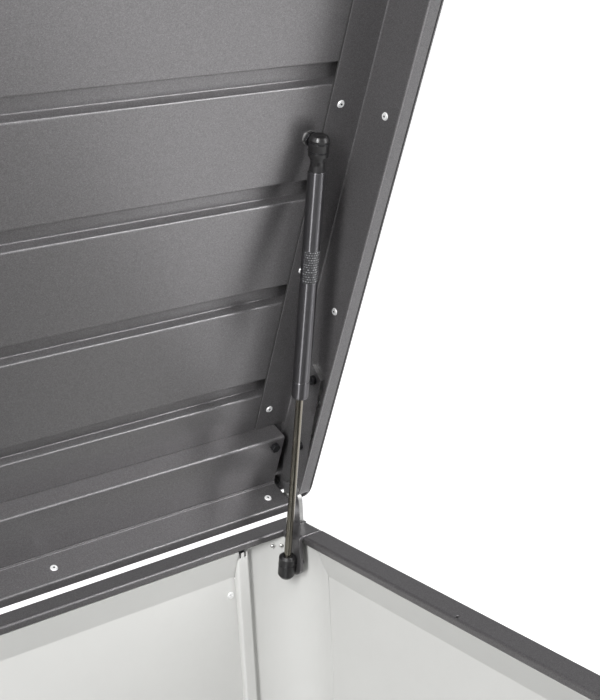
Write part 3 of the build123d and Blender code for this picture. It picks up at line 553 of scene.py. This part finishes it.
def edge_the_lid():
    """Rolled hems on the side channels' free lips, and thin black beads along their flanges' inner edges as
    painted shade for the gap there.
    """
    for side in SIDES:
        sign = 1 if side == "right" else -1
        hem_x, hem_out = sign * 888.9 * MM, -19.9 * MM
        bead(f"lip_hem_{side}", lid_place(hem_x, 34 * MM, hem_out),
             lid_place(hem_x, 766 * MM, hem_out), 1.25 * MM, "lid_sheet", "lid")
        # Painted shade: a thin black bead stands for the shadow gap at each flange's inner edge.
        shadow_bead_x, shadow_bead_out = sign * 861.6 * MM, 45.9 * MM
        bead(f"flange_seal_{side}", lid_place(shadow_bead_x, 78 * MM, shadow_bead_out),
             lid_place(shadow_bead_x, 752 * MM, shadow_bead_out), 0.75 * MM, "buffer_rubber", "lid")


def turned(name, profile, place, axis, look, body):
    """Small turned part from (distance along the axis, radius) pairs, closed at both ends."""
    mesh = bpy.data.meshes.new(name)
    build = bmesh.new()
    side = across(axis, Vector((0.31, 0.17, 0.94)))
    other = axis.cross(side)
    count = 24
    rings = []
    for along, radius in profile:
        ring = []
        for step in range(count):
            angle = 2 * math.pi * step / count
            spoke = side * math.cos(angle) + other * math.sin(angle)
            ring.append(build.verts.new(place + axis * along + spoke * radius))
        rings.append(ring)
    for first, second in zip(rings, rings[1:]):
        for step in range(count):
            after = (step + 1) % count
            build.faces.new((first[step], first[after], second[after], second[step]))
    build.faces.new(list(reversed(rings[0])))
    build.faces.new(rings[-1])
    bmesh.ops.recalc_face_normals(build, faces=build.faces)
    build.to_mesh(mesh)
    build.free()
    made = new_object(name, mesh, LOOKS[look])
    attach(made, body)


def corner_bolts():
    """Pairs of small bolt ends on the inside of the rear corner sheets, under the rim."""
    shape = ((-0.5, 2.3), (2.2, 2.3), (2.9, 1.7), (3.0, 0.9))
    profile = [(along * MM, radius * MM) for along, radius in shape]
    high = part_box("rear_wall")[1]
    rim_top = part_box("rear_rim")[1].z
    inset = BODY_SKIN + CORNER_INNER
    for side in SIDES:
        sign = 1 if side == "right" else -1
        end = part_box(f"side_wall_{side}")[1 if sign > 0 else 0].x
        centre = Vector((end - sign * inset, high.y - inset, rim_top - 19.6 * MM))
        for number, degrees in enumerate((52, 62)):
            angle = math.radians(degrees)
            spoke = Vector((sign * math.cos(angle), math.sin(angle), 0.0))
            turned(f"corner_bolt_{side}_{number}", profile, centre + spoke * CORNER_INNER,
                   -spoke, "stud_steel", "box")


def dress_springs():
    """Wire clips in the sockets' grooves, and the label, on both gas springs."""
    for side in SIDES:
        top, down = strut_frame(side)
        low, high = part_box(f"lower_ball_stud_{side}")
        ball = Vector((low.x + 5 * MM if side == "right" else high.x - 5 * MM,
                       (low.y + high.y) / 2, (low.z + high.z) / 2))
        outward = Vector((0.0, 0.9, 0.4))
        across_box = Vector((1.0 if side == "right" else -1.0, 0.0, 0.0))
        for number, offset in enumerate((-3.8, 5.0)):
            wire_clip(f"upper_clip_{side}_{number}", top + down * (offset * MM), down, outward,
                      9.5 * MM, 0.55 * MM, f"tube_{side}")
        wire_clip(f"lower_clip_{side}", ball - down * (4.8 * MM), down, across_box,
                  9.0 * MM, 0.55 * MM, f"rod_{side}")
        tube_label(side, 104 * MM, 138 * MM)


# ---------------------------------------------------------------- floor, light and camera


def make_floor():
    """Large pale floor, which isn't part of the object."""
    mesh = bpy.data.meshes.new("studio_floor")
    size = 60.0
    corners = [(-size, -size, 0), (size, -size, 0), (size, size, 0), (-size, size, 0)]
    mesh.from_pydata(corners, [], [(0, 1, 2, 3)])
    floor = new_object("studio_floor", mesh, concrete("floor_pale", (0.76, 0.76, 0.76)))


def area_light(name, place, target, size, power):
    """Soft rectangular light aimed at a point."""
    data = bpy.data.lights.new(name, "AREA")
    data.shape = "RECTANGLE"
    data.size, data.size_y = size
    data.energy = power
    lamp = bpy.data.objects.new(name, data)
    bpy.context.collection.objects.link(lamp)
    lamp.location = place
    aim = Vector(target) - Vector(place)
    lamp.rotation_euler = aim.to_track_quat("-Z", "Y").to_euler()


def make_world():
    """Grey room that turns white at the horizon and below it."""
    world = bpy.data.worlds.new("studio_world")
    bpy.context.scene.world = world
    world.use_nodes = True
    nodes, links = world.node_tree.nodes, world.node_tree.links
    place = nodes.new("ShaderNodeTexCoord")
    split = nodes.new("ShaderNodeSeparateXYZ")
    ramp = nodes.new("ShaderNodeValToRGB")
    links.new(place.outputs["Generated"], split.inputs["Vector"])
    links.new(split.outputs["Z"], ramp.inputs["Fac"])
    ramp.color_ramp.elements[0].position = 0.02
    ramp.color_ramp.elements[0].color = (1.0, 1.0, 1.0, 1.0)
    ramp.color_ramp.elements[1].position = 0.2
    ramp.color_ramp.elements[1].color = (0.33, 0.33, 0.335, 1.0)
    background = nodes["Background"]
    links.new(ramp.outputs["Color"], background.inputs["Color"])
    background.inputs["Strength"].default_value = 1.0


def make_lights():
    """Soft boxes at the front left and front right, and one overhead in front."""
    area_light("left", (-1.8, -1.6, 2.2), (0.85, 0.2, 0.7), (0.5, 1.8), 130)
    area_light("right", (2.2, -1.9, 1.9), (0.5, 0.3, 0.8), (0.5, 1.8), 40)
    area_light("overhead", (0.0, -0.9, 2.9), (0.0, 0.1, 0.0), (2.4, 1.2), 28)


def make_camera():
    """Camera close over the front, looking at the rear right corner."""
    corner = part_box("rear_rim")[1]
    forward = Vector((0.55078, 0.78387, -0.28670)).normalized()
    right = Vector((0.80855, -0.58632, -0.04978))
    right = across(forward, right)
    up = right.cross(forward)
    data = bpy.data.cameras.new("studio_camera")
    data.sensor_width = 36.0
    data.lens = 67.52
    data.clip_start = 0.02
    camera = bpy.data.objects.new("studio_camera", data)
    bpy.context.collection.objects.link(camera)
    place = Matrix.Translation(corner + Vector((-0.7804, -1.1425, 0.6090)))
    turn = Matrix((right, up, -forward)).transposed().to_4x4()
    camera.matrix_world = place @ turn
    bpy.context.scene.camera = camera


paint_nodes()
paint_body()
paint_arm_edges()
paint_lip_shade()
shade_rivet_centres()
edge_the_lid()
corner_bolts()
dress_springs()
make_floor()
make_world()
make_lights()
make_camera()
bpy.context.scene.view_settings.view_transform = "Standard"
